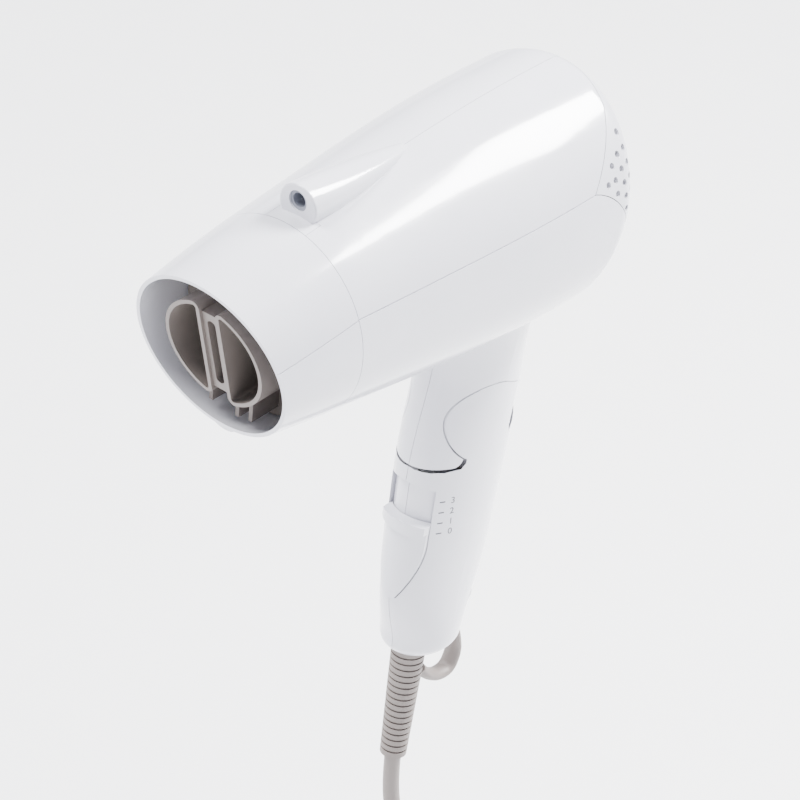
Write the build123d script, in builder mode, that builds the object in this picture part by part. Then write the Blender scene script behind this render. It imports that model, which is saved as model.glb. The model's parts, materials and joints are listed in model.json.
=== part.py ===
"""Folding hand-held hair dryer, built as separate pieces, in millimetres.

Frame: the origin is the middle of the grip, on the handle's centre line. The air leaves towards -Y,
+Z runs up from the handle to the barrel, and +X is the side that carries the switch marks.
"""

from math import cos, pi, radians, sin, tan
import os

from build123d import *

os.makedirs("parts", exist_ok=True)

# ---------------------------------------------------------------- driving dimensions
AXIS_Z = 135.0  # height of the barrel's axis above the middle of the grip
SEAM_Y = -100.0  # the ring seam between hood and barrel
WALL = 2.0  # moulded wall
SEAM_GAP = 0.3  # visible parting gap between two covers
HALF_GAP = 0.1  # each half shell stands this far off the middle plane
PRISM_REACH = 70.0  # cutting prisms reach this far to each side

# barrel sections: (distance behind the ring seam, half width, half height, drop of the centre)
BARREL = (
    (0.0, 37.0, 37.0, 0.0),
    (24.0, 39.0, 39.6, 0.7),
    (49.0, 41.0, 42.2, 1.4),
    (97.0, 43.9, 46.3, 2.7),
    (128.0, 44.2, 47.2, 3.5),
    (168.0, 43.6, 46.6, 3.9),
)
REAR_AT_AXIS = 141.8  # where the leaning rear face meets the axis, behind the ring seam
REAR_LEAN = 0.258  # the rear face runs back this much for each millimetre of height
REAR_ROUND = 9.0
CREASE_HEIGHT = 14.3  # side crease, above the axis
CREASE_END = 118.4
CREASE_DEPTH = 0.5
CREASE_WIDTH = 0.5

# intake grille
GRILLE_HOLE_R = 1.5
GRILLE_PITCH = 5.0
SIDE_HOLE_R = 1.2
SIDE_HOLE_PITCH = 4.8
# columns of holes in the intake's sides: (distance, middle height, count)
SIDE_HOLES = ((126.5, 14.8, 1), (130.7, 15.0, 3), (135.2, 12.6, 5), (139.4, 13.3, 7))

# hood and the nozzle inside it
MOUTH_DISTANCE = -35.0  # the mouth's centre, ahead of the ring seam
MOUTH_DROP = 0.5
MOUTH_LEAN = 0.235  # the upper lip reaches forward
MOUTH_HALF_WIDTH = 33.3
MOUTH_HALF_HEIGHT = 32.8
HOOD_MIDDLE = -17.0
LIP = 1.5
NOZZLE_R = 21.4
NOZZLE_WALL = 1.5
NOZZLE_RECESS = 1.5
NOZZLE_SLOT_HALF = 3.6
NOZZLE_BACK = -8.4
NOZZLE_CORNER = 2.6
NOZZLE_BAR_RECESS = 1.2  # the bar between the outlets stands this far behind their lips

# ion outlet on top of the barrel
ION_FRONT = 5.5
ION_TIP = 60.0
ION_HEIGHT = 43.0
ION_TUBE_R = 3.9
ION_BORE_R = 2.7
ION_PANEL_HALF = 9.0  # the cover's flush foot, let into the barrel between the ring seam and the cover
ION_PANEL_END = 7.5

# handle and neck sections: (height, front, rear, half width)
GRIP = (
    (-56.0, -25.7, 12.8, 12.6),
    (-29.0, -27.4, 19.4, 14.3),
    (0.0, -25.6, 25.0, 15.8),
    (26.0, -23.1, 28.7, 16.8),
    (40.0, -20.7, 30.5, 17.1),
    (58.0, -15.8, 31.5, 17.6),
    (74.0, -12.3, 31.2, 19.0),
    (86.0, -12.5, 29.5, 21.5),
    (98.0, -17.0, 25.0, 24.5),
)
HANDLE_ROUND = 5.0
FRONT_WALL = 4.6  # thicker in front, where the switch recess is let in
SIDE_WALL = 2.2

# fold joint in the neck
HINGE_Y = 1.7
HINGE_Z = 48.3
EAR_R = 16.3  # the handle's two round ears sit inside the neck
EAR_IN = 7.0
HUB_HALF = 6.3
HUB_R = 16.9
FOLD_GAP = 0.4
SADDLE_Z = 32.0  # front edge of the handle, below the neck's tongue
TONGUE_R = 28.9
SWEEP_R = 29.25
PIN_R = 4.0
PIN_BORE_R = 2.6
PIN_HALF = 12.5
RUNNING = 0.06
NECK_SCREW = (17.0, 76.0)  # (Y, Z)

# switch
SLIDE_SLOPE = 0.078  # the switch runs up the front of the handle, which leans this much
SLIDE_TRAVEL = 14.0
KNOB_HALF = 10.0
KNOB_TOP = 8.2
KNOB_TIP = -25.6
WINDOW_TOP = 25.5
KNOB_GAP = 0.35
KNOB_PROUD = 0.7
RIDGE_PROUD = 2.2
RIDGE_HEIGHT = 3.4
FLOOR_HALF_WIDTH = 15.5
FLOOR_HALF_DEPTH = 22.7
SLIDE_CENTRE = (0.0, 0.6, 8.0)
POST_HALF = 2.4
POST_BOTTOM = -20.4  # below the slide's centre
POST_HEIGHT = 5.0

# fan and motor, distances behind the ring seam
SHAFT_R = 1.15
BUSH_RUNNING = 0.04
MOTOR_R = 14.0
MOTOR_FRONT = 66.0
MOTOR_REAR = 95.0
DUCT_R = 36.0
DUCT_WALL = 1.5
DUCT_REAR = 120.0
FAN_FRONT = 101.0
FAN_REAR = 116.0
FAN_R = 33.5
FAN_HUB_R = 14.5
BLADES = 7
VANES = 9

# heater
SLEEVE_R = 26.0
SLEEVE_FRONT = 3.0
SLEEVE_REAR = 60.0
MICA = 0.8
COIL_WIRE_R = 0.8

# cord
CORD_R = 3.3
GUARD_Y = -12.6
GUARD_LEAN = 0.087
GUARD_TOP = -53.0
GUARD_LENGTH = 54.0
GUARD_R = 6.7
GUARD_TAPER = 1.7  # degrees
GUARD_FLANGE_FLATS = 8.2
GUARD_STEP = 3.8  # the guard's full width starts this far along, just under the handle
RIBS = 17
RIB_PITCH = 2.8
HANK_STRAIGHT = 108.0
HANK_TOP = -182.0
HANK_Y = -24.0
HANK_INNER_R = 19.8
HANK_OUTER_R = 26.6
HANK_LAYERS = 3
PLUG_TOP = -346.0


def save(piece, name):
    """Label a piece and write it to its own file."""
    piece.label = name
    export_step(piece, f"parts/{name}.step")


def behind(distance, height=0.0, side=0.0):
    """The point at a distance behind the ring seam and a height over the barrel's axis."""
    return (side, SEAM_Y + distance, AXIS_Z + height)


def across(distance, height=0.0, side=0.0):
    """The plane across the barrel there, with its normal to the rear and its x axis to +X."""
    return Plane(origin=behind(distance, height, side), x_dir=(1, 0, 0), z_dir=(0, 1, 0))


def rear_plane(inset):
    """The leaning rear face, pulled forward by inset."""
    normal = Vector(0, 1, -REAR_LEAN).normalized()
    return Plane(origin=Vector(*behind(REAR_AT_AXIS)) - normal * inset, x_dir=(1, 0, 0), z_dir=normal)


def mouth_plane(recess=0.0):
    """The leaning plane of the hood's mouth, its normal to the rear, moved back by recess."""
    normal = Vector(0, 1, MOUTH_LEAN).normalized()
    centre = Vector(*behind(MOUTH_DISTANCE, -MOUTH_DROP)) + normal * recess
    return Plane(origin=centre, x_dir=(1, 0, 0), z_dir=normal)


def barrel_form(inset, rounding):
    """The barrel's solid form, pulled in by inset, with its rear edge rounded."""
    with BuildPart() as form:
        for distance, half_width, half_height, drop in BARREL:
            with BuildSketch(across(distance, -drop)):
                Ellipse(half_width - inset, half_height - inset)
        loft()
        face = rear_plane(inset)
        split(bisect_by=face, keep=Keep.BOTTOM)
        if rounding:
            fillet(form.faces().sort_by(Axis.Y)[-1].edges(), rounding)
    return form.part


def hood_form(ring_inset, lip_inset, start):
    """The hood's solid form between the ring seam and the mouth."""
    with BuildPart() as form:
        with BuildSketch(across(start)):
            Circle(BARREL[0][1] - ring_inset)
        lean = MOUTH_LEAN / 2
        normal = Vector(0, 1, lean).normalized()
        middle = Plane(origin=behind(HOOD_MIDDLE, -MOUTH_DROP / 2), x_dir=(1, 0, 0), z_dir=normal)
        inset = (ring_inset + lip_inset) / 2
        with BuildSketch(middle):
            Ellipse(35.4 - inset, 35.2 - inset)
        with BuildSketch(mouth_plane()):
            Ellipse(MOUTH_HALF_WIDTH - lip_inset, MOUTH_HALF_HEIGHT - lip_inset)
        loft()
    return form.part


def grip_form(side_inset, front_inset):
    """The solid form of the handle and the neck together, pulled in by the insets."""
    with BuildPart() as form:
        for height, front, rear, half_width in GRIP:
            near = front + front_inset
            far = rear - side_inset
            with BuildSketch(Plane.XY.offset(height)):
                with Locations((0, (near + far) / 2)):
                    Ellipse(half_width - side_inset, (far - near) / 2)
        loft()
    return form.part


def fold_prism(grow):
    """What belongs to the handle: all below the saddle, plus the round ears, as a prism along X."""
    corner = radians(231)
    shoulder = radians(60)
    reach = EAR_R
    start = (HINGE_Y + reach * cos(corner), HINGE_Z + reach * sin(corner))
    front = (HINGE_Y - reach, HINGE_Z)
    end = (HINGE_Y + reach * cos(shoulder), HINGE_Z + reach * sin(shoulder))
    run = 60.0
    rear = (end[0] + run, end[1] - run * tan(radians(30)))
    with BuildPart() as prism:
        with BuildSketch(Plane.YZ.offset(-PRISM_REACH)):
            with BuildLine():
                Line((-60, SADDLE_Z), (-13.4, SADDLE_Z))
                ThreePointArc((-13.4, SADDLE_Z), (-10.1, 33.0), start)
                ThreePointArc(start, front, end)
                Polyline(end, rear, (rear[0], -90), (-60, -90), (-60, SADDLE_Z))
            make_face()
            if grow:
                offset(amount=grow)
        extrude(amount=2 * PRISM_REACH)
    return prism.part


def hinge_disc(radius, half, centre_side=0.0):
    """A disc about the fold axis, along X."""
    with BuildPart() as disc:
        with BuildSketch(Plane.YZ.offset(centre_side)):
            with Locations((HINGE_Y, HINGE_Z)):
                Circle(radius)
        extrude(amount=half, both=True)
    return disc.part


def slide_plane():
    """The plane square to the switch's travel, through the recess."""
    return Plane(origin=SLIDE_CENTRE, x_dir=(1, 0, 0), z_dir=Vector(0, SLIDE_SLOPE, 1).normalized())


def floor_prism(grow, reach=60.0):
    """The prism whose front is the recess floor; the switch slides along it."""
    with BuildPart() as prism:
        with BuildSketch(slide_plane()):
            Ellipse(FLOOR_HALF_WIDTH + grow, FLOOR_HALF_DEPTH + grow)
        extrude(amount=reach, both=True)
    return prism.part


def knob_outline(top, arch, grow):
    """Front view of the switch knob, in (X, Z), extruded through the handle's front."""
    half = KNOB_HALF + grow
    with BuildPart() as prism:
        with BuildSketch(Plane(origin=(0, -45, 0), x_dir=(1, 0, 0), z_dir=(0, -1, 0))):
            with BuildLine():
                tip = KNOB_TIP - grow
                ThreePointArc((-half, top), (0, top + arch), (half, top))
                Line((half, top), (half - 0.3, -2))
                ThreePointArc((half - 0.3, -2), (half - 2.6, -14.5), (2.6 + grow / 2, tip + 0.8))
                ThreePointArc((2.6 + grow / 2, tip + 0.8), (0, tip), (-2.6 - grow / 2, tip + 0.8))
                ThreePointArc((-2.6 - grow / 2, tip + 0.8), (2.6 - half, -14.5), (0.3 - half, -2))
                Line((0.3 - half, -2), (-half, top))
            make_face()
        extrude(amount=-45)
    return prism.part


def ion_panel(gap):
    """The flush foot of the ion outlet's cover, or with no gap its notch in the barrel."""
    with BuildPart() as panel:
        with BuildSketch(Plane.XY.offset(AXIS_Z + 25)):
            with Locations((0, SEAM_Y)):
                Rectangle(2 * (ION_PANEL_HALF - gap), 2 * (ION_PANEL_END - gap))
        extrude(amount=30)
    return panel.part


def tube_radii(points):
    """The largest arc that each corner of a route leaves room for."""
    corners = [Vector(*point) for point in points]
    radii = []
    for before, corner, after in zip(corners, corners[1:], corners[2:]):
        first = corner - before
        second = after - corner
        turn = radians(first.get_angle(second))
        radii.append(0.45 * min(first.length, second.length) / tan(turn / 2))
    return radii


def halves(solid):
    """The two sides of a cover, parted at the middle plane."""
    with BuildPart() as left:
        add(solid)
        split(bisect_by=Plane.YZ.offset(HALF_GAP), keep=Keep.TOP)
    with BuildPart() as right:
        add(solid)
        split(bisect_by=Plane.YZ.offset(-HALF_GAP), keep=Keep.BOTTOM)
    return left.part, right.part


# ---------------------------------------------------------------- shared forms
BARREL_OUTER = barrel_form(0.0, REAR_ROUND)
BARREL_INNER = barrel_form(WALL, REAR_ROUND - WALL)
GRIP_OUTER = grip_form(0.0, 0.0)


def side_point(distance, height):
    """A point of a side view, in (Y, Z)."""
    return behind(distance, height)[1:]


def grille_prism(shrink):
    """The intake as a prism along X: it wraps forward to a point at the end of the side crease."""
    tip = side_point(CREASE_END, CREASE_HEIGHT)
    low = side_point(136.6, -6.7)
    with BuildPart() as prism:
        with BuildSketch(Plane.YZ.offset(-PRISM_REACH)):
            with BuildLine():
                Polyline(tip, side_point(140, 34.6), side_point(151, 49), side_point(190, 60))
                Line(side_point(190, 60), side_point(190, -39))
                Polyline(side_point(190, -39), side_point(134, -39), side_point(130, -34), low)
                ThreePointArc(low, side_point(130.6, 6.6), tip)
            make_face()
            if shrink:
                offset(amount=-shrink)
        extrude(amount=2 * PRISM_REACH)
    return prism.part


# ---------------------------------------------------------------- head covers
with BuildPart() as neck_hollow:
    add(grip_form(SIDE_WALL, SIDE_WALL))
    with BuildSketch(Plane.XY.offset(SADDLE_Z + FOLD_GAP + WALL)):
        Rectangle(90, 120)
    extrude(amount=-120, mode=Mode.SUBTRACT)
    add(hinge_disc(EAR_R + FOLD_GAP + WALL, 40), mode=Mode.SUBTRACT)

with BuildPart() as tongue_trim:
    with BuildSketch(Plane.YZ):
        with Locations((HINGE_Y - 25, HINGE_Z - 20)):
            Rectangle(50, 40)
        with Locations((HINGE_Y, HINGE_Z)):
            Circle(TONGUE_R, mode=Mode.SUBTRACT)
    extrude(amount=40, both=True)

with BuildPart() as crease_tool:
    for side in (-1, 1):
        with BuildSketch(Plane.XZ.offset(-SEAM_Y + 3)):
            with Locations((side * 45, AXIS_Z + CREASE_HEIGHT)):
                Rectangle(30, CREASE_WIDTH)
        extrude(amount=-(CREASE_END + 6))
    add(barrel_form(CREASE_DEPTH, 0), mode=Mode.SUBTRACT)

with BuildPart() as head_cover:
    add(BARREL_OUTER)
    add(GRIP_OUTER)
    add(fold_prism(FOLD_GAP), mode=Mode.SUBTRACT)
    add(tongue_trim.part, mode=Mode.SUBTRACT)
    add(BARREL_INNER, mode=Mode.SUBTRACT)
    add(neck_hollow.part, mode=Mode.SUBTRACT)
    add(grille_prism(0.0), mode=Mode.SUBTRACT)
    add(hinge_disc(HUB_R, HUB_HALF))
    with BuildSketch(Plane.YZ.offset(-15)):
        with Locations(NECK_SCREW):
            Circle(4.0)
    extrude(amount=30)
    with BuildSketch(Plane.YZ.offset(-15)):
        with Locations(NECK_SCREW):
            Circle(1.5)
    extrude(amount=23, mode=Mode.SUBTRACT)
    with BuildSketch(Plane.YZ.offset(-40)):
        with Locations(NECK_SCREW):
            Circle(2.9)
    extrude(amount=28, mode=Mode.SUBTRACT)
    add(hinge_disc(PIN_R + RUNNING, 40), mode=Mode.SUBTRACT)
    add(crease_tool.part, mode=Mode.SUBTRACT)
    add(ion_panel(0.0), mode=Mode.SUBTRACT)

head_left, head_right = halves(head_cover.part)
save(head_left, "barrel_shell_left")
save(head_right, "barrel_shell_right")

with BuildPart() as rear_grille:
    add(BARREL_OUTER)
    add(BARREL_INNER, mode=Mode.SUBTRACT)
    add(grille_prism(SEAM_GAP), mode=Mode.INTERSECT)
    with BuildSketch(across(95)):
        with HexLocations(GRILLE_PITCH / 2, 13, 13):
            Circle(GRILLE_HOLE_R)
        Circle(31.5, mode=Mode.INTERSECT)
    extrude(amount=90, mode=Mode.SUBTRACT)
    with BuildSketch(Plane.YZ):
        for distance, height, count in SIDE_HOLES:
            with Locations(side_point(distance, height)):
                with GridLocations(1, SIDE_HOLE_PITCH, 1, count):
                    Circle(SIDE_HOLE_R)
    extrude(amount=60, both=True, mode=Mode.SUBTRACT)
save(rear_grille.part, "rear_grille")

with BuildPart() as intake_filter:
    add(barrel_form(WALL + 0.4, 0))
    add(barrel_form(WALL + 1.0, 0), mode=Mode.SUBTRACT)
    with BuildSketch(across(122)):
        Circle(34)
    extrude(amount=60, mode=Mode.INTERSECT)
save(intake_filter.part, "intake_filter")

# ---------------------------------------------------------------- hood and inner nozzle
with BuildPart() as hood_crease_tool:
    for side in (-1, 1):
        start = behind(1, CREASE_HEIGHT, side * 45)
        with BuildSketch(Plane(origin=start, x_dir=(1, 0, 0), z_dir=(0, -37, -5.1))):
            Rectangle(30, CREASE_WIDTH)
        extrude(amount=50)
    add(hood_form(CREASE_DEPTH, CREASE_DEPTH, 0.0), mode=Mode.SUBTRACT)

with BuildPart() as front_hood:
    add(hood_form(0.0, 0.0, -SEAM_GAP))
    with BuildSketch(mouth_plane(1.0)):
        with Locations((0, MOUTH_HALF_HEIGHT)):
            Ellipse(4.8, 2.6)
    extrude(amount=8)
    add(hood_form(WALL, LIP, 0.0), mode=Mode.SUBTRACT)
    with BuildSketch(mouth_plane()):
        Ellipse(MOUTH_HALF_WIDTH - LIP, MOUTH_HALF_HEIGHT - LIP)
    extrude(amount=-6, mode=Mode.SUBTRACT)
    with BuildSketch(across(-3.0)):
        Circle(BARREL[0][1] - 1.4)
        Circle(BARREL[0][1] - WALL - 1.6, mode=Mode.SUBTRACT)
    extrude(amount=3.0 - SEAM_GAP)
    with BuildSketch(across(-3.0)):
        Circle(BARREL[0][1] - WALL - 0.15)
        Circle(BARREL[0][1] - WALL - 1.6, mode=Mode.SUBTRACT)
    extrude(amount=7.0)
    add(hood_crease_tool.part, mode=Mode.SUBTRACT)
save(front_hood.part, "front_hood")


def nozzle_half(side, outset):
    """One D of the nozzle, seen from the front."""
    with BuildSketch() as half:
        Circle(NOZZLE_R - outset)
        with Locations((side * (NOZZLE_SLOT_HALF + outset) + side * NOZZLE_R, 0)):
            Rectangle(2 * NOZZLE_R, 2.2 * NOZZLE_R, mode=Mode.INTERSECT)
        fillet(half.vertices(), NOZZLE_CORNER - outset)
    return half.sketch


def mouth_trim(recess):
    """All that lies in front of the mouth plane moved back by recess."""
    with BuildPart() as trim:
        with BuildSketch(mouth_plane(recess)):
            Rectangle(120, 120)
        extrude(amount=-60)
    return trim.part


with BuildPart() as inner_nozzle:
    with BuildSketch(across(NOZZLE_BACK)):
        Rectangle(2 * NOZZLE_SLOT_HALF + 1, 34)
        SlotOverall(28, NOZZLE_SLOT_HALF, rotation=90, mode=Mode.SUBTRACT)
    extrude(amount=-50)
    with BuildSketch(across(NOZZLE_BACK)):
        with Locations((-9, 24), (3, 25), (9, 24), (0, -25)):
            Rectangle(1.6, 8)
    extrude(amount=-15)
    add(mouth_trim(NOZZLE_RECESS + NOZZLE_BAR_RECESS), mode=Mode.SUBTRACT)
    for side in (-1, 1):
        with BuildSketch(across(NOZZLE_BACK)):
            add(nozzle_half(side, 0.0))
    extrude(amount=-50)
    with BuildSketch(across(NOZZLE_BACK)):
        Circle(33.2)
    extrude(amount=-1.6)
    for side in (-1, 1):
        with BuildSketch(across(NOZZLE_BACK + 1)):
            add(nozzle_half(side, NOZZLE_WALL))
    extrude(amount=-60, mode=Mode.SUBTRACT)
    with BuildSketch(across(NOZZLE_BACK + 1)):
        SlotOverall(28, NOZZLE_SLOT_HALF, rotation=90)
    extrude(amount=-4, mode=Mode.SUBTRACT)
    add(mouth_trim(NOZZLE_RECESS), mode=Mode.SUBTRACT)
save(inner_nozzle.part, "inner_nozzle")

# ---------------------------------------------------------------- ion outlet


def ion_form(inset):
    """The tapered cover over the ion outlet, pulled in by inset."""
    with BuildPart() as form:
        with BuildSketch(across(ION_FRONT + inset, 41.2)):
            Ellipse(8.2 - inset, 8.0 - inset)
        with BuildSketch(across(33, 40.2)):
            Ellipse(7.6 - inset, 5.6 - inset)
        with BuildSketch(across(ION_TIP, 40.4)):
            Ellipse(2.6 - inset, 1.7 - inset)
        loft()
    return form.part


with BuildPart() as ion_foot:
    add(BARREL_OUTER)
    add(BARREL_INNER, mode=Mode.SUBTRACT)
    add(ion_panel(SEAM_GAP / 2), mode=Mode.INTERSECT)

with BuildPart() as ion_cover:
    add(ion_form(0.0))
    fillet(ion_cover.faces().sort_by(Axis.Y)[0].edges(), 0.8)
    add(ion_form(1.2), mode=Mode.SUBTRACT)
    add(BARREL_OUTER, mode=Mode.SUBTRACT)
    add(ion_foot.part)
    with BuildSketch(across(ION_FRONT - 1, ION_HEIGHT)):
        Circle(ION_TUBE_R)
    extrude(amount=9, mode=Mode.SUBTRACT)
save(ion_cover.part, "ion_outlet_cover")

with BuildPart() as ion_tube:
    with BuildSketch(across(ION_FRONT + 0.8, ION_HEIGHT)):
        Circle(ION_TUBE_R)
        Circle(ION_BORE_R, mode=Mode.SUBTRACT)
    extrude(amount=7.2)
    with BuildSketch(across(ION_FRONT + 6.8, ION_HEIGHT)):
        Circle(ION_TUBE_R)
    extrude(amount=1.2)
save(ion_tube.part, "ion_tube")

with BuildPart() as ion_needle:
    with BuildSketch(across(ION_FRONT + 6.8, ION_HEIGHT)):
        Circle(0.6)
    extrude(amount=-4.8, taper=6)
save(ion_needle.part, "ion_needle")

with BuildPart() as ion_module:
    with BuildSketch(across(18, 31.2)):
        RectangleRounded(18, 7.6, 1.2)
    extrude(amount=26)
save(ion_module.part, "ion_module")

# ---------------------------------------------------------------- heater
with BuildPart() as coils:
    for ring in range(9):
        for radius in (12.0, 20.5):
            with BuildSketch(Plane(origin=behind(9 + ring * 5.4), x_dir=(1, 0, 0), z_dir=(0, 0, 1))):
                with Locations((radius, 0)):
                    Circle(COIL_WIRE_R)
            revolve(axis=Axis(behind(9 + ring * 5.4), (0, 1, 0)))
save(coils.part, "heater_coils")

with BuildPart() as mica_cross:
    for angle in (0, 90):
        with BuildSketch(across(5)):
            Rectangle(2 * SLEEVE_R - 2, MICA, rotation=angle)
        extrude(amount=52)
    for ring in range(9):
        for radius in (12.0, 20.5):
            with BuildSketch(Plane(origin=behind(9 + ring * 5.4), x_dir=(1, 0, 0), z_dir=(0, 0, 1))):
                with Locations((radius, 0)):
                    Circle(COIL_WIRE_R + 0.1)
            revolve(axis=Axis(behind(9 + ring * 5.4), (0, 1, 0)), mode=Mode.SUBTRACT)
save(mica_cross.part, "mica_cross")

with BuildPart() as mica_sleeve:
    with BuildSketch(across(SLEEVE_FRONT)):
        Circle(SLEEVE_R)
        Circle(SLEEVE_R - 0.6, mode=Mode.SUBTRACT)
    extrude(amount=SLEEVE_REAR - SLEEVE_FRONT)
save(mica_sleeve.part, "mica_sleeve")

with BuildPart() as thermostat:
    with BuildSketch(across(30, 4.0, 4.4)):
        RectangleRounded(6.4, 5.6, 1)
    extrude(amount=14)
save(thermostat.part, "thermostat")

with BuildPart() as thermal_fuse:
    with BuildSketch(across(30, -5.0, -5.0)):
        Circle(1.9)
    extrude(amount=11)
save(thermal_fuse.part, "thermal_fuse")

# ---------------------------------------------------------------- fan and motor
with BuildPart() as fan_housing:
    with BuildSketch(Plane(origin=behind(0), x_dir=(1, 0, 0), z_dir=(0, 0, 1))):
        with BuildLine():
            Polyline(
                (SLEEVE_R, SLEEVE_REAR - 6),
                (SLEEVE_R + DUCT_WALL, SLEEVE_REAR - 6),
                (SLEEVE_R + DUCT_WALL, SLEEVE_REAR - 1),
                (DUCT_R, MOTOR_FRONT + 1),
                (DUCT_R, DUCT_REAR),
                (DUCT_R - DUCT_WALL, DUCT_REAR),
                (DUCT_R - DUCT_WALL, MOTOR_FRONT + 1.6),
                (SLEEVE_R, SLEEVE_REAR),
                (SLEEVE_R, SLEEVE_REAR - 6),
            )
        make_face()
    revolve(axis=Axis(behind(0), (0, 1, 0)))
    with BuildSketch(across(MOTOR_FRONT + 1)):
        Circle(MOTOR_R + 1.6)
        Circle(MOTOR_R, mode=Mode.SUBTRACT)
    extrude(amount=25)
    with BuildSketch(across(MOTOR_FRONT + 2)):
        with PolarLocations((MOTOR_R + DUCT_R) / 2, VANES):
            Rectangle(DUCT_R - MOTOR_R - 1.5, 1.4)
    extrude(amount=24)
    with BuildSketch(across(98)):
        with PolarLocations(DUCT_R + 5.4, 4, start_angle=45):
            Rectangle(12, 3)
    extrude(amount=10)
    add(BARREL_INNER, mode=Mode.INTERSECT)
save(fan_housing.part, "fan_housing")

with BuildPart() as motor_can:
    with BuildSketch(across(MOTOR_FRONT)):
        Circle(MOTOR_R)
    extrude(amount=MOTOR_REAR - MOTOR_FRONT)
    with BuildSketch(across(MOTOR_FRONT)):
        Circle(MOTOR_R - 1.0)
    extrude(amount=MOTOR_REAR - MOTOR_FRONT - 1.2, mode=Mode.SUBTRACT)
    with BuildSketch(across(MOTOR_FRONT)):
        Circle(3.0)
    extrude(amount=40, mode=Mode.SUBTRACT)
save(motor_can.part, "motor_can")

with BuildPart() as motor_magnets:
    with BuildSketch(across(MOTOR_FRONT + 4)):
        Circle(MOTOR_R - 1.0)
        Circle(MOTOR_R - 3.6, mode=Mode.SUBTRACT)
        Rectangle(9, 40, mode=Mode.SUBTRACT)
    extrude(amount=20)
save(motor_magnets.part, "motor_magnets")

with BuildPart() as motor_end_cap:
    with BuildSketch(across(MOTOR_FRONT)):
        Circle(MOTOR_R - 1.0)
        Circle(3.0, mode=Mode.SUBTRACT)
    extrude(amount=1.6)
save(motor_end_cap.part, "motor_end_cap")

with BuildPart() as motor_bushes:
    for place in (MOTOR_FRONT, MOTOR_REAR - 3.0):
        with BuildSketch(across(place)):
            Circle(3.0)
            Circle(SHAFT_R + BUSH_RUNNING, mode=Mode.SUBTRACT)
        extrude(amount=3.0)
save(motor_bushes.part, "motor_bushes")

with BuildPart() as rectifier_board:
    with BuildSketch(across(MOTOR_FRONT - 2.4)):
        Circle(12.5)
        Circle(3.0, mode=Mode.SUBTRACT)
    extrude(amount=1.2)
    with BuildSketch(across(MOTOR_FRONT - 4.8)):
        with Locations((7, 4), (7, -4), (-7, 4), (-7, -4)):
            Circle(1.5)
    extrude(amount=2.4)
save(rectifier_board.part, "rectifier_board")

with BuildPart() as motor_shaft:
    with BuildSketch(across(MOTOR_FRONT - 1.0)):
        Circle(SHAFT_R)
    extrude(amount=FAN_REAR - MOTOR_FRONT + 1.0)
save(motor_shaft.part, "motor_shaft")

with BuildPart() as armature:
    with BuildSketch(across(MOTOR_FRONT + 7)):
        Circle(9.4)
        with PolarLocations(9.4, 3):
            Rectangle(4.0, 2.0, mode=Mode.SUBTRACT)
        Circle(SHAFT_R, mode=Mode.SUBTRACT)
    extrude(amount=15)
save(armature.part, "armature")

with BuildPart() as commutator:
    with BuildSketch(across(MOTOR_FRONT + 3.4)):
        Circle(2.8)
        Circle(SHAFT_R, mode=Mode.SUBTRACT)
    extrude(amount=3.4)
save(commutator.part, "commutator")

with BuildPart() as impeller:
    with BuildSketch(across(FAN_FRONT)):
        Circle(FAN_HUB_R)
    extrude(amount=FAN_REAR - FAN_FRONT)
    fillet(impeller.faces().sort_by(Axis.Y)[-1].edges(), 4)
    with BuildSketch(across(FAN_FRONT)):
        Circle(FAN_HUB_R - 1.8)
        Circle(3.4, mode=Mode.SUBTRACT)
    extrude(amount=9, mode=Mode.SUBTRACT)
    for blade in range(BLADES):
        turn = radians(360 / BLADES * blade)
        inner = FAN_HUB_R - 1
        root = behind((FAN_FRONT + FAN_REAR) / 2 - 0.5, inner * sin(turn), inner * cos(turn))
        outward = Vector(cos(turn), 0, sin(turn))
        chord = Vector(-sin(turn), 0.9, cos(turn)).normalized()
        with BuildSketch(Plane(origin=root, x_dir=chord, z_dir=outward)):
            with BuildLine():
                arc = ThreePointArc((-8.4, 0), (0, 1.6), (8.4, 0))
                offset(arc, amount=0.6, side=Side.BOTH)
            make_face()
        extrude(amount=FAN_R - FAN_HUB_R + 3)
    with BuildSketch(across(FAN_FRONT - 10)):
        Circle(FAN_R)
    extrude(amount=60, mode=Mode.INTERSECT)
    with BuildSketch(across(FAN_FRONT - 10)):
        Circle(SHAFT_R)
    extrude(amount=60, mode=Mode.SUBTRACT)
save(impeller.part, "impeller")

with BuildPart() as neck_screw:
    with BuildSketch(Plane.YZ.offset(-12)):
        with Locations(NECK_SCREW):
            Circle(1.5)
    extrude(amount=20)
    with BuildSketch(Plane.YZ.offset(-14)):
        with Locations(NECK_SCREW):
            Circle(2.7)
            RegularPolygon(1.4, 6, mode=Mode.SUBTRACT)
    extrude(amount=2)
save(neck_screw.part, "neck_screw")

# ---------------------------------------------------------------- handle covers
# the room that the neck's tongue sweeps in the handle: (distance from the middle plane, radius)
SWEEP = (
    (15.2, EAR_R - 0.2),
    (15.2, 17.6),
    (14.6, 20.4),
    (11.6, 24.4),
    (8.2, 27.2),
    (5.5, 28.5),
    (2.5, SWEEP_R),
)

with BuildPart() as sweep_room:
    with BuildSketch(Plane(origin=(0, HINGE_Y, HINGE_Z), x_dir=(1, 0, 0), z_dir=(0, -1, 0))):
        with BuildLine():
            Polyline(
                *[(across_x, radius) for across_x, radius in SWEEP],
                *[(-across_x, radius) for across_x, radius in reversed(SWEEP)],
                SWEEP[0],
            )
        make_face()
    revolve(axis=Axis((0, HINGE_Y, HINGE_Z), (1, 0, 0)))

with BuildPart() as ears:
    add(hinge_disc(EAR_R + 2, 40))
    add(hinge_disc(EAR_R + 3, EAR_IN), mode=Mode.SUBTRACT)

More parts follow.
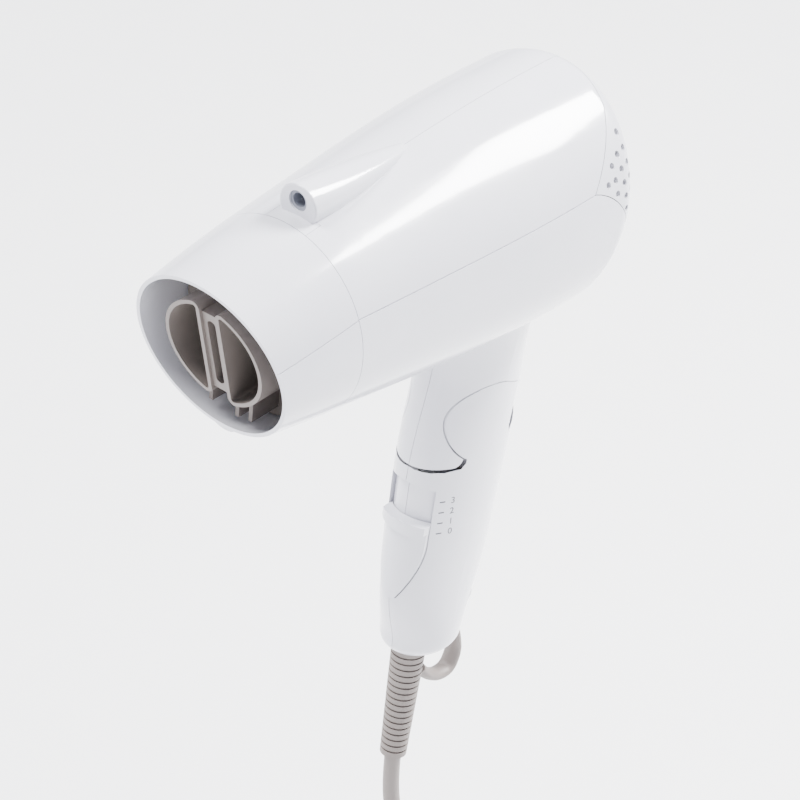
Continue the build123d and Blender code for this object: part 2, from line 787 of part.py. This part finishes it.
with BuildPart() as handle_hollow:
    add(grip_form(SIDE_WALL, FRONT_WALL))
    with BuildSketch(Plane.XY.offset(GRIP[0][0] - 5)):
        Rectangle(90, 120)
    extrude(amount=5 + 2.5, mode=Mode.SUBTRACT)
    add(ears.part, mode=Mode.SUBTRACT)

with BuildPart() as recess:
    add(knob_outline(WINDOW_TOP - 2.5, 2.5, KNOB_GAP))
    add(floor_prism(0.0), mode=Mode.SUBTRACT)


def guard_plane(along):
    """The plane square to the cord guard, this far along it from its top."""
    down = Vector(0, -GUARD_LEAN, -1).normalized()
    return Plane(origin=Vector(0, GUARD_Y, GUARD_TOP) + down * along, x_dir=(1, 0, 0), z_dir=down)


SCREWS = ((4.0, -36.0, 11.6), (13.0, 16.0, 12.8))  # (Y, Z, half length of the boss)

with BuildPart() as handle_cover:
    add(GRIP_OUTER)
    fillet(handle_cover.faces().sort_by(Axis.Z)[0].edges(), HANDLE_ROUND)
    add(fold_prism(0.0), mode=Mode.INTERSECT)
    add(handle_hollow.part, mode=Mode.SUBTRACT)
    add(sweep_room.part, mode=Mode.SUBTRACT)
    add(hinge_disc(HUB_R + 0.4, EAR_IN), mode=Mode.SUBTRACT)
    add(hinge_disc(PIN_R, PIN_HALF), mode=Mode.SUBTRACT)
    add(recess.part, mode=Mode.SUBTRACT)
    for place, height, half in SCREWS:
        with BuildSketch(Plane.YZ.offset(-half)):
            with Locations((place, height)):
                Circle(4.0)
        extrude(amount=2 * half)
        with BuildSketch(Plane.YZ.offset(-10)):
            with Locations((place, height)):
                Circle(1.5)
        extrude(amount=19, mode=Mode.SUBTRACT)
        with BuildSketch(Plane.YZ.offset(-30)):
            with Locations((place, height)):
                Circle(2.9)
        extrude(amount=21, mode=Mode.SUBTRACT)
    with BuildSketch(slide_plane().offset(POST_BOTTOM - KNOB_GAP)):
        with Locations((0, -22)):
            Rectangle(2 * POST_HALF + 0.8, 12)
    extrude(amount=POST_HEIGHT + SLIDE_TRAVEL + 2 * KNOB_GAP, mode=Mode.SUBTRACT)
    with BuildSketch(guard_plane(-3.6)):
        Circle(GUARD_R - 1.2)
    extrude(amount=17, mode=Mode.SUBTRACT)

handle_left, handle_right = halves(handle_cover.part)
save(handle_left, "handle_shell_left")
save(handle_right, "handle_shell_right")

with BuildPart() as handle_screws:
    for place, height, half in SCREWS:
        with BuildSketch(Plane.YZ.offset(-9)):
            with Locations((place, height)):
                Circle(1.5)
        extrude(amount=17)
        with BuildSketch(Plane.YZ.offset(-11)):
            with Locations((place, height)):
                Circle(2.7)
                RegularPolygon(1.4, 6, mode=Mode.SUBTRACT)
        extrude(amount=2)
save(handle_screws.part, "handle_screws")

with BuildPart() as hinge_pin:
    with BuildSketch(Plane.YZ.offset(-PIN_HALF)):
        with Locations((HINGE_Y, HINGE_Z)):
            Circle(PIN_R)
            Circle(PIN_BORE_R, mode=Mode.SUBTRACT)
    extrude(amount=2 * PIN_HALF)
save(hinge_pin.part, "hinge_pin")

with BuildPart() as hinge_washers:
    for side in (-1, 1):
        with BuildSketch(Plane.YZ.offset(side * (EAR_IN - 0.25) - 0.25)):
            with Locations((HINGE_Y, HINGE_Z)):
                Circle(9)
                Circle(PIN_R, mode=Mode.SUBTRACT)
        extrude(amount=0.5)
save(hinge_washers.part, "hinge_washers")

# ---------------------------------------------------------------- switch
with BuildPart() as switch_knob:
    add(grip_form(-KNOB_PROUD, -KNOB_PROUD))
    add(knob_outline(KNOB_TOP, 1.6, 0.0), mode=Mode.INTERSECT)
with BuildPart() as ridge:
    add(grip_form(-RIDGE_PROUD, -RIDGE_PROUD))
    add(knob_outline(KNOB_TOP, 1.6, 0.0), mode=Mode.INTERSECT)
    with BuildSketch(Plane.XY.offset(KNOB_TOP - RIDGE_HEIGHT)):
        Rectangle(60, 120)
    extrude(amount=-60, mode=Mode.SUBTRACT)
with BuildPart() as knob_whole:
    add(switch_knob.part)
    add(ridge.part)
    add(floor_prism(KNOB_GAP), mode=Mode.SUBTRACT)
save(knob_whole.part, "switch_knob")

with BuildPart() as carriage:
    with BuildSketch(slide_plane().offset(POST_BOTTOM)):
        with Locations((0, -20.1)):
            Rectangle(2 * POST_HALF, 6.6)
    extrude(amount=POST_HEIGHT)
    with BuildSketch(slide_plane().offset(POST_BOTTOM - 4)):
        with Locations((0, -15.9)):
            Rectangle(13, 2)
    extrude(amount=POST_HEIGHT + 8)
    add(floor_prism(KNOB_GAP), mode=Mode.INTERSECT)
save(carriage.part, "switch_carriage")

with BuildPart() as switch_body:
    with BuildSketch(slide_plane()):
        with Locations((0, -8.4)):
            RectangleRounded(18, 12, 1)
    extrude(amount=8)
    with BuildSketch(slide_plane()):
        with Locations((0, -8.4)):
            RectangleRounded(18, 12, 1)
    extrude(amount=-26)
save(switch_body.part, "switch_body")

with BuildPart() as switch_terminals:
    for row in range(4):
        with BuildSketch(slide_plane().offset(4 - row * 8)):
            with Locations((0, 0.6)):
                Rectangle(4, 6)
        extrude(amount=-0.8)
save(switch_terminals.part, "switch_terminals")

# ---------------------------------------------------------------- cord and its fittings
with BuildPart() as cord_clamp:
    with BuildSketch(guard_plane(-14)):
        RectangleRounded(15, 9, 1.5)
        Circle(CORD_R, mode=Mode.SUBTRACT)
    extrude(amount=7)
save(cord_clamp.part, "cord_clamp")

with BuildPart() as cord_guard:
    with BuildSketch(guard_plane(GUARD_STEP)):
        Circle(GUARD_R)
    extrude(amount=GUARD_LENGTH - GUARD_STEP, taper=GUARD_TAPER)
    with BuildSketch(guard_plane(-2.4)):
        Circle(GUARD_R - 1.2)
    extrude(amount=2.4 + GUARD_STEP)
    with BuildSketch(guard_plane(-3.4)):
        Circle(GUARD_R + 1.3)
        Rectangle(3 * GUARD_R, GUARD_FLANGE_FLATS, mode=Mode.INTERSECT)
    extrude(amount=1.6)
    for rib in range(RIBS):
        along = GUARD_LENGTH - 3.2 - rib * RIB_PITCH
        radius = GUARD_R - (along - GUARD_STEP) * tan(radians(GUARD_TAPER))
        with BuildSketch(guard_plane(along)):
            Circle(radius + 1)
            Circle(radius - 0.7, mode=Mode.SUBTRACT)
        extrude(amount=0.8, mode=Mode.SUBTRACT)
    with BuildSketch(guard_plane(-4)):
        Circle(CORD_R)
    extrude(amount=GUARD_LENGTH + 6, mode=Mode.SUBTRACT)
save(cord_guard.part, "cord_guard")

LOOP = (
    (0, -6.6, -71),
    (0, -1.5, -77.5),
    (0, 5.5, -82),
    (0, 12.5, -82.2),
    (0, 15.9, -75),
    (0, 13.8, -64),
    (0, 8.6, -54),
)
with BuildPart() as hang_loop:
    with BuildLine() as loop_path:
        FilletPolyline(*LOOP, radius=tube_radii(LOOP))
    with BuildSketch(Plane(origin=LOOP[0], x_dir=(1, 0, 0), z_dir=Vector(*LOOP[1]) - Vector(*LOOP[0]))):
        Ellipse(3.6, 2.3)
    sweep()
    add(GRIP_OUTER, mode=Mode.SUBTRACT)
    with BuildSketch(guard_plane(2)):
        Circle(GUARD_R)
    extrude(amount=30, taper=1.6, mode=Mode.SUBTRACT)
save(hang_loop.part, "hang_loop")

GUARD_END = guard_plane(GUARD_LENGTH).origin
CORD_ROUTE = (
    (GUARD_END.X, GUARD_END.Y, GUARD_END.Z),
    (0.5, -18.4, -122.0),
    (3.6, -18.3, -137.0),
    (9.8, -17.7, -151.0),
    (15.5, -17.4, -166.0),
)
TAIL_ROUTE = (
    (24.6, -24.0, -301.0),
    (18.6, -24.2, -317.0),
    (9.5, -24.0, -330.0),
    (6.0, -24.0, PLUG_TOP),
)


def tube(points):
    """A round cord of straight runs joined by tangent arcs."""
    radii = tube_radii(points)
    print("cord arcs", [round(radius, 1) for radius in radii], "smallest allowed", 10 * CORD_R)
    with BuildPart() as cord:
        with BuildLine() as path:
            FilletPolyline(*points, radius=radii)
        with BuildSketch(Plane(origin=points[0], z_dir=Vector(*points[1]) - Vector(*points[0]))):
            Circle(CORD_R)
        sweep()
    length = sum(edge.length for edge in path.edges())
    print("cord volume", round(cord.part.volume), "section times length", round(pi * CORD_R**2 * length))
    return cord.part


save(tube(CORD_ROUTE), "cord_tube")
save(tube(TAIL_ROUTE), "cord_tail")

with BuildPart() as cord_lead:
    with BuildSketch(guard_plane(-26)):
        Circle(CORD_R)
    extrude(amount=26 + GUARD_LENGTH)
save(cord_lead.part, "cord_lead")

with BuildPart() as cord_hank:
    middle = HANK_TOP - HANK_STRAIGHT / 2
    with BuildSketch(Plane(origin=(0, HANK_Y, middle), x_dir=(0, 0, 1), z_dir=(0, 1, 0))):
        SlotCenterToCenter(HANK_STRAIGHT, 2 * (HANK_OUTER_R + CORD_R))
        SlotCenterToCenter(HANK_STRAIGHT, 2 * (HANK_INNER_R - CORD_R), mode=Mode.SUBTRACT)
    extrude(amount=HANK_LAYERS * CORD_R, both=True)
save(cord_hank.part, "cord_hank")

with BuildPart() as cord_tie:
    with BuildSketch(Plane.XY.offset(HANK_TOP - HANK_STRAIGHT / 2 - 7)):
        with Locations((0, HANK_Y)):
            RectangleRounded(2 * (HANK_OUTER_R + CORD_R) + 3, 2 * HANK_LAYERS * CORD_R + 3, 3)
            Rectangle(2 * (HANK_OUTER_R + CORD_R), 2 * HANK_LAYERS * CORD_R, mode=Mode.SUBTRACT)
    extrude(amount=14)
save(cord_tie.part, "cord_tie")

with BuildPart() as plug_body:
    with BuildSketch(Plane.XY.offset(PLUG_TOP)):
        with Locations((6, HANK_Y)):
            Circle(CORD_R + 1.2)
    extrude(amount=-14, taper=-5)
    with BuildSketch(Plane.XY.offset(PLUG_TOP - 12)):
        with Locations((6, HANK_Y)):
            RectangleRounded(24, 14, 5)
    extrude(amount=-24)
    fillet(plug_body.faces().sort_by(Axis.Z)[0].edges(), 1.5)
    for groove in range(4):
        with BuildSketch(Plane.XY.offset(PLUG_TOP - 2.4 - 2.6 * groove)):
            with Locations((6, HANK_Y)):
                Circle(9)
                Circle(3.9 + 0.22 * groove, mode=Mode.SUBTRACT)
        extrude(amount=-1, mode=Mode.SUBTRACT)
save(plug_body.part, "plug_body")

with BuildPart() as plug_blades:
    for side in (-6.35, 6.35):
        with BuildSketch(Plane.XY.offset(PLUG_TOP - 36)):
            with Locations((6 + side, HANK_Y)):
                Rectangle(1.5, 6.3)
        extrude(amount=-17.5)
save(plug_blades.part, "plug_blades")
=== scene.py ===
"""Looks of the folding hair dryer: camera, cord, materials, switch marks and light, in metres."""

import json
import math

import bpy
from mathutils import Matrix, Vector


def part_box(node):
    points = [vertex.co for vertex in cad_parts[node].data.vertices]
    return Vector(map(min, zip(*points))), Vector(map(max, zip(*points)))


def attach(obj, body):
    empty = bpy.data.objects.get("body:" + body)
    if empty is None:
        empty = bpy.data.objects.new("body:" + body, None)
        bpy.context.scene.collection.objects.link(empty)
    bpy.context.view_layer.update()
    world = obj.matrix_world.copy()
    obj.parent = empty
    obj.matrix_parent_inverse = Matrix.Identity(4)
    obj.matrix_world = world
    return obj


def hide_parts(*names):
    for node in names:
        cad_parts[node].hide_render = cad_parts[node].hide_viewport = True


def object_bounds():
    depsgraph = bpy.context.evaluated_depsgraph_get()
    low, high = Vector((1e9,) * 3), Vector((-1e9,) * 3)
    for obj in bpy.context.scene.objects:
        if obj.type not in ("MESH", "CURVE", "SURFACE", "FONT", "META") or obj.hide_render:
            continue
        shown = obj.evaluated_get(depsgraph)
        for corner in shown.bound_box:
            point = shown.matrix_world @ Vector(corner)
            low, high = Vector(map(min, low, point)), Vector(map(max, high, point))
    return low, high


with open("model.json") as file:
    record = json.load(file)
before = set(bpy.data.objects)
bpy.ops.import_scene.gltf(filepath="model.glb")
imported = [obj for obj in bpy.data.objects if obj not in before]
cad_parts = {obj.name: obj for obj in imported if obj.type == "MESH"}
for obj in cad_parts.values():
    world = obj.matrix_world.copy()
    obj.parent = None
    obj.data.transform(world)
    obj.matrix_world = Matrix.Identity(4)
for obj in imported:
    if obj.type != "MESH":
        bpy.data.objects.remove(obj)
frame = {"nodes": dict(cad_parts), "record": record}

CAD_BOX = [list(corner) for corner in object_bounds()]
MM = 0.001

# ---------------------------------------------------------------- camera
CAMERA_AZIMUTH = math.radians(39.88)
CAMERA_ELEVATION = math.radians(33.91)
CAMERA_ROLL = math.radians(3.35)
CAMERA_DISTANCE = 1.363
CAMERA_LENS = 181.4
AXIS_HEIGHT = 0.135  # the fan's axis, which is the barrel's
RING_SEAM = Vector((0.0, -0.100, AXIS_HEIGHT))
AIM_RIGHT = 0.0404  # the picture's centre, to the right of the ring seam's centre
AIM_DOWN = 0.0289


def camera_axes():
    """The picture's right, up and backward directions."""
    east = Vector((math.cos(CAMERA_AZIMUTH), math.sin(CAMERA_AZIMUTH), 0.0))
    level = Vector((math.sin(CAMERA_AZIMUTH), -math.cos(CAMERA_AZIMUTH), 0.0))
    back = level * math.cos(CAMERA_ELEVATION) + Vector((0, 0, math.sin(CAMERA_ELEVATION)))
    north = back.cross(east)
    right = east * math.cos(CAMERA_ROLL) + north * math.sin(CAMERA_ROLL)
    return right, back.cross(right), back


def make_camera():
    """The camera at the photograph's angle, aimed at the picture's centre."""
    right, up, back = camera_axes()
    place = RING_SEAM + back * CAMERA_DISTANCE
    aim = RING_SEAM + right * AIM_RIGHT - up * AIM_DOWN
    away = (place - aim).normalized()
    side = up.cross(away).normalized()
    turn = Matrix((side, away.cross(side), away)).transposed()
    data = bpy.data.cameras.new("camera")
    data.lens = CAMERA_LENS
    data.sensor_width = 36.0
    data.clip_end = 20.0
    camera = bpy.data.objects.new("camera", data)
    camera.matrix_world = Matrix.Translation(place) @ turn.to_4x4()
    bpy.context.scene.collection.objects.link(camera)
    bpy.context.scene.camera = camera


make_camera()

# ---------------------------------------------------------------- materials


def new_material(name):
    """An empty node material, with its shader and its texture coordinates in metres."""
    made = bpy.data.materials.new(name)
    made.use_nodes = True
    nodes = made.node_tree.nodes
    shader = nodes["Principled BSDF"]
    place = nodes.new("ShaderNodeTexCoord")
    return made, nodes, made.node_tree.links, shader, place.outputs["Object"]


def noise(nodes, links, place, scale, detail=3.0):
    """A noise pattern's value output, its scale in cycles for each metre."""
    made = nodes.new("ShaderNodeTexNoise")
    made.inputs["Scale"].default_value = scale
    made.inputs["Detail"].default_value = detail
    links.new(place, made.inputs["Vector"])
    return made.outputs["Fac"]


def spread(nodes, links, value, low, high):
    """Maps the middle of a noise value to the range from low to high."""
    made = nodes.new("ShaderNodeMapRange")
    made.inputs["From Min"].default_value = 0.3
    made.inputs["From Max"].default_value = 0.7
    made.inputs["To Min"].default_value = low
    made.inputs["To Max"].default_value = high
    links.new(value, made.inputs["Value"])
    return made.outputs["Result"]


def colour_drift(nodes, links, value, first, second):
    """A colour that drifts between two near ones."""
    made = nodes.new("ShaderNodeValToRGB")
    made.color_ramp.elements[0].position = 0.3
    made.color_ramp.elements[0].color = (*first, 1.0)
    made.color_ramp.elements[1].position = 0.7
    made.color_ramp.elements[1].color = (*second, 1.0)
    links.new(value, made.inputs["Fac"])
    return made.outputs["Color"]


def bump(nodes, links, shader, value, depth):
    """Raises the surface by a value, at a depth in metres."""
    made = nodes.new("ShaderNodeBump")
    made.inputs["Strength"].default_value = 1.0
    made.inputs["Distance"].default_value = depth
    links.new(value, made.inputs["Height"])
    links.new(made.outputs["Normal"], shader.inputs["Normal"])


def plastic(name, first, second, rough, grain, depth, coat=0.0):
    """Moulded plastic: two near colours, a roughness range, and a surface grain."""
    made, nodes, links, shader, place = new_material(name)
    slow = noise(nodes, links, place, 35.0)
    fine = noise(nodes, links, place, grain, 2.0)
    links.new(colour_drift(nodes, links, slow, first, second), shader.inputs["Base Color"])
    links.new(spread(nodes, links, slow, *rough), shader.inputs["Roughness"])
    bump(nodes, links, shader, fine, depth)
    shader.inputs["Coat Weight"].default_value = coat
    shader.inputs["Coat Roughness"].default_value = 0.06
    return made


def metal(name, first, second, rough, grain=900.0, depth=0.00002):
    """Bare metal with a faint drift of colour and polish."""
    made = plastic(name, first, second, rough, grain, depth)
    made.node_tree.nodes["Principled BSDF"].inputs["Metallic"].default_value = 1.0
    return made


def woven(name, dark, light, pitch):
    """A fine woven mesh: two crossed waves raise the threads."""
    made, nodes, links, shader, place = new_material(name)
    waves = []
    for direction in ("X", "Z"):
        wave = nodes.new("ShaderNodeTexWave")
        wave.bands_direction = direction
        wave.inputs["Scale"].default_value = 1.0 / pitch / 3.2
        links.new(place, wave.inputs["Vector"])
        waves.append(wave.outputs["Fac"])
    crossed = nodes.new("ShaderNodeMath")
    crossed.operation = "MAXIMUM"
    links.new(waves[0], crossed.inputs[0])
    links.new(waves[1], crossed.inputs[1])
    links.new(colour_drift(nodes, links, crossed.outputs["Value"], dark, light), shader.inputs["Base Color"])
    bump(nodes, links, shader, crossed.outputs["Value"], 0.0002)
    shader.inputs["Roughness"].default_value = 0.7
    return made


LOOKS = {
    "white_shell": plastic(
        "white_shell", (0.655, 0.655, 0.705), (0.685, 0.685, 0.73), (0.13, 0.19), 420.0, 0.00001, 0.5,
    ),
    "white_grille": plastic(
        "white_grille", (0.63, 0.63, 0.675), (0.66, 0.66, 0.70), (0.22, 0.3), 600.0, 0.00001, 0.3,
    ),
    "grey_trim": plastic(
        "grey_trim", (0.150, 0.127, 0.115), (0.172, 0.148, 0.134), (0.42, 0.52), 2600.0, 0.00002,
    ),
    "grey_rubber": plastic(
        "grey_rubber", (0.180, 0.153, 0.139), (0.205, 0.178, 0.163), (0.5, 0.62), 2400.0, 0.00003,
    ),
    "cord_jacket": plastic(
        "cord_jacket", (0.180, 0.155, 0.141), (0.202, 0.176, 0.162), (0.42, 0.55), 1800.0, 0.00003,
    ),
    "black_plastic": plastic(
        "black_plastic", (0.016, 0.016, 0.018), (0.024, 0.024, 0.026), (0.4, 0.55), 2000.0, 0.00003,
    ),
    "duct_plastic": plastic(
        "duct_plastic", (0.022, 0.022, 0.024), (0.03, 0.03, 0.032), (0.45, 0.6), 2000.0, 0.00003,
    ),
    "mica": plastic("mica", (0.30, 0.25, 0.17), (0.38, 0.33, 0.24), (0.45, 0.65), 1200.0, 0.00005),
    "heater_wire": metal("heater_wire", (0.20, 0.17, 0.15), (0.28, 0.25, 0.23), (0.4, 0.55)),
    "steel": metal("steel", (0.50, 0.50, 0.52), (0.60, 0.60, 0.62), (0.25, 0.38)),
    "copper": metal("copper", (0.60, 0.26, 0.13), (0.68, 0.32, 0.17), (0.28, 0.4)),
    "bronze": metal("bronze", (0.40, 0.25, 0.11), (0.48, 0.30, 0.14), (0.4, 0.55)),
    "ferrite": plastic("ferrite", (0.02, 0.02, 0.022), (0.03, 0.03, 0.032), (0.5, 0.65), 1500.0, 0.00004),
    "board": plastic("board", (0.02, 0.09, 0.04), (0.03, 0.12, 0.05), (0.3, 0.4), 1800.0, 0.00002, 0.3),
    "filter_mesh": woven("filter_mesh", (0.008, 0.008, 0.010), (0.035, 0.035, 0.038), 0.0009),
    "brass_blade": metal("brass_blade", (0.66, 0.50, 0.25), (0.74, 0.58, 0.31), (0.2, 0.32)),
}
MARK_LOOK = plastic("printed_mark", (0.045, 0.045, 0.06), (0.055, 0.055, 0.07), (0.4, 0.5), 1500.0, 0.000005)

# pieces moulded in a shade of their own
OWN_LOOKS = {
    "ion_tube": plastic("ion_tube", (0.20, 0.21, 0.25), (0.23, 0.24, 0.28), (0.3, 0.4), 2000.0, 0.00002, 0.2),
}

for part in frame["record"]["subparts"]:
    for holder in frame["nodes"][part["node"]].material_slots:
        holder.material = OWN_LOOKS.get(part["node"], LOOKS[part["material_slot"]])

# ---------------------------------------------------------------- mains cord
CORD_DIAMETER = 0.0066
HANK_STRAIGHT = 0.108
HANK_LOW, HANK_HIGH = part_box("cord_hank")
HANK_MIDDLE = (HANK_LOW + HANK_HIGH) / 2
INNER_TURN = 0.0198
OUTER_TURN = 0.0266
LAYER = CORD_DIAMETER
TURNS = 4
ARC_STEPS = 6
RUN_STEPS = 4
ROUTE_IN = (
    (0.0, -0.01730, -0.10680),
    (0.0005, -0.0184, -0.1220),
    (0.0036, -0.0183, -0.1370),
    (0.0098, -0.0177, -0.1510),
    (0.0155, -0.0174, -0.1660),
)
ROUTE_OUT = (
    (0.0246, -0.0240, -0.3010),
    (0.0186, -0.0242, -0.3170),
    (0.0095, -0.0240, -0.3300),
    (0.0060, -0.0240, -0.3460),
)
# where each turn lies: (radius, distance from the hank's middle layer)
TURN_PLACES = (
    (INNER_TURN, LAYER),
    (INNER_TURN, 0.0),
    (INNER_TURN, -LAYER),
    (OUTER_TURN, -LAYER),
    (OUTER_TURN, 0.0),
)


def turn_step(step):
    """The side, height and arc angle of one of a turn's steps, which starts down the +X side."""
    half = RUN_STEPS + ARC_STEPS
    side = 1 if step < half else -1
    along = step % half
    if along < RUN_STEPS:
        rise = HANK_STRAIGHT * (0.5 - (along + 0.5) / RUN_STEPS)
        return side, rise, None
    angle = math.pi * (along - RUN_STEPS + 0.5) / ARC_STEPS
    return side, -HANK_STRAIGHT / 2, angle


def hank_points():
    """The put-away turns, each moving over to the next one's place on its way up the -X side."""
    points = []
    steps = 2 * (RUN_STEPS + ARC_STEPS)
    pull = 1 / math.cos(math.pi / ARC_STEPS / 2)
    for turn in range(TURNS + 1):
        for step in range(steps if turn < TURNS else RUN_STEPS):
            moves_at = RUN_STEPS + ARC_STEPS + (TURNS - 1 - turn)
            here = TURN_PLACES[turn]
            if turn < TURNS and step > moves_at:
                here = TURN_PLACES[turn + 1]
            radius, layer = here
            side, rise, angle = turn_step(step)
            if angle is None:
                x, z = radius, rise
            else:
                x = radius * pull * math.cos(angle)
                z = rise - radius * pull * math.sin(angle)
            points.append(HANK_MIDDLE + Vector((side * x, layer, side * z)))
    return points


def make_cord():
    """The cord as one smooth spline, from the guard through the hank to the plug."""
    route = [Vector(point) for point in ROUTE_IN] + hank_points() + [Vector(point) for point in ROUTE_OUT]
    data = bpy.data.curves.new("mains_cord", "CURVE")
    data.dimensions = "3D"
    data.resolution_u = 8
    data.bevel_depth = CORD_DIAMETER / 2
    data.bevel_resolution = 5
    data.use_fill_caps = True
    line = data.splines.new("NURBS")
    line.points.add(len(route) - 1)
    for point, place in zip(line.points, route):
        point.co = (*place, 1.0)
    line.order_u = 3
    line.use_endpoint_u = True
    cord = bpy.data.objects.new("mains_cord", data)
    bpy.context.scene.collection.objects.link(cord)
    data.materials.append(LOOKS["cord_jacket"])
    return cord


cord = make_cord()
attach(cord, "handle")
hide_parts("cord_tube", "cord_hank", "cord_tail")

# ---------------------------------------------------------------- switch marks
MARKS = (("3", 18.2), ("2", 13.5), ("1", 8.8), ("0", 4.2))  # digit, and height in millimetres
TICK_ACROSS = 11.5  # millimetres from the middle plane
TICK_LONG = 2.2
TICK_THICK = 0.5
DIGIT_ACROSS = 13.6
DIGIT_SIZE = 3.9


def on_handle(point):
    """The nearest point of the handle's +X cover, and the way out of it."""
    _, place, normal, _ = frame["nodes"]["handle_shell_left"].closest_point_on_mesh(point)
    return place, normal


def grip_point(across, height):
    """A point of the handle's front quarter, by its distance from the middle plane."""
    probe = Vector((across * MM, -0.040, height * MM))
    shell = frame["nodes"]["handle_shell_left"]
    _, place, normal, _ = shell.ray_cast(probe, Vector((0, 1, 0)))
    return place, normal


def print_mesh(name, mesh, across, height):
    """Lays a flat mesh, in millimetres about its left middle, on the handle as a thin print."""
    anchor, normal = grip_point(across, height)
    along = Vector((0, 0, 1)).cross(normal).normalized()
    up = normal.cross(along)
    for vertex in mesh.vertices:
        x, y, z = vertex.co
        place, out = on_handle(anchor + along * x * MM + up * y * MM)
        vertex.co = place + out * (0.00004 if z > 0 else -0.00015)
    mesh.materials.clear()
    mesh.materials.append(MARK_LOOK)
    made = bpy.data.objects.new(name, mesh)
    bpy.context.scene.collection.objects.link(made)
    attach(made, "handle")
    return made


def digit_mesh(text):
    """A digit as a thin closed mesh, in millimetres."""
    data = bpy.data.curves.new("digit", "FONT")
    data.body = text
    data.size = DIGIT_SIZE
    data.align_y = "CENTER"
    data.extrude = 0.1
    data.resolution_u = 4
    holder = bpy.data.objects.new("digit", data)
    mesh = bpy.data.meshes.new_from_object(holder)
    bpy.data.objects.remove(holder)
    return mesh


def tick_mesh():
    """A short bar as a thin closed mesh, in millimetres."""
    steps = 6
    half = TICK_THICK / 2
    corners = []
    for step in range(steps + 1):
        x = TICK_LONG * step / steps
        corners += [(x, -half, -0.1), (x, half, -0.1), (x, half, 0.1), (x, -half, 0.1)]
    faces = [(0, 1, 2, 3), tuple(4 * steps + corner for corner in (3, 2, 1, 0))]
    for step in range(steps):
        for corner in range(4):
            following = (corner + 1) % 4
            low, high = 4 * step, 4 * step + 4
            faces.append((low + corner, high + corner, high + following, low + following))
    mesh = bpy.data.meshes.new("tick")
    mesh.from_pydata(corners, [], faces)
    return mesh


for digit, height in MARKS:
    print_mesh(f"mark_tick_{digit}", tick_mesh(), TICK_ACROSS, height)
    print_mesh(f"mark_digit_{digit}", digit_mesh(digit), DIGIT_ACROSS, height)

# ---------------------------------------------------------------- stage and light
FLOOR_DROP = 0.03  # below the plug
FLOOR_REACH = 6.0
WORLD_COLOUR = (0.86, 0.88, 1.0, 1.0)
WORLD_STRENGTH = 1.1
SUN_FROM = (-0.55, -0.3, 1.0)
SUN_STRENGTH = 7.0
SUN_SPREAD = math.radians(28)
LIGHTS_AIM = (0.0, -0.05, 0.10)
# name, place, size and power: a sheen along the barrel's top, and a soft light into its mouth
SOFT_LIGHTS = (
    ("sheen", (0.42, 0.95, 1.15), 0.55, 115.0),
    ("front", (0.2, -1.6, 0.5), 0.8, 8.0),
)


def make_floor():
    """A plain pale floor below the plug."""
    level = CAD_BOX[0][2] - FLOOR_DROP
    corners = [(-1, -1), (1, -1), (1, 1), (-1, 1)]
    mesh = bpy.data.meshes.new("floor")
    mesh.from_pydata([(x * FLOOR_REACH, y * FLOOR_REACH, level) for x, y in corners], [], [(0, 1, 2, 3)])
    floor = bpy.data.objects.new("floor", mesh)
    bpy.context.scene.collection.objects.link(floor)
    mesh.materials.append(plastic("floor", (0.90, 0.90, 0.90), (0.91, 0.91, 0.91), (0.8, 0.9), 60.0, 0.00001))


def make_soft_light(name, place, size, power):
    """A soft square light aimed at the barrel."""
    data = bpy.data.lights.new(name, "AREA")
    data.shape = "SQUARE"
    data.size = size
    data.energy = power
    light = bpy.data.objects.new(name, data)
    light.location = place
    light.rotation_euler = (Vector(place) - Vector(LIGHTS_AIM)).to_track_quat("Z", "Y").to_euler()
    bpy.context.scene.collection.objects.link(light)


def make_sun():
    """Even light from one side, soft as through a large diffuser."""
    data = bpy.data.lights.new("sun", "SUN")
    data.energy = SUN_STRENGTH
    data.angle = SUN_SPREAD
    sun = bpy.data.objects.new("sun", data)
    sun.rotation_euler = Vector(SUN_FROM).to_track_quat("Z", "Y").to_euler()
    bpy.context.scene.collection.objects.link(sun)


def make_world():
    """Even pale light from all round."""
    world = bpy.data.worlds.new("world")
    world.use_nodes = True
    background = world.node_tree.nodes["Background"]
    background.inputs["Color"].default_value = WORLD_COLOUR
    background.inputs["Strength"].default_value = WORLD_STRENGTH
    bpy.context.scene.world = world


make_floor()
make_world()
make_sun()
for soft_light in SOFT_LIGHTS:
    make_soft_light(*soft_light)
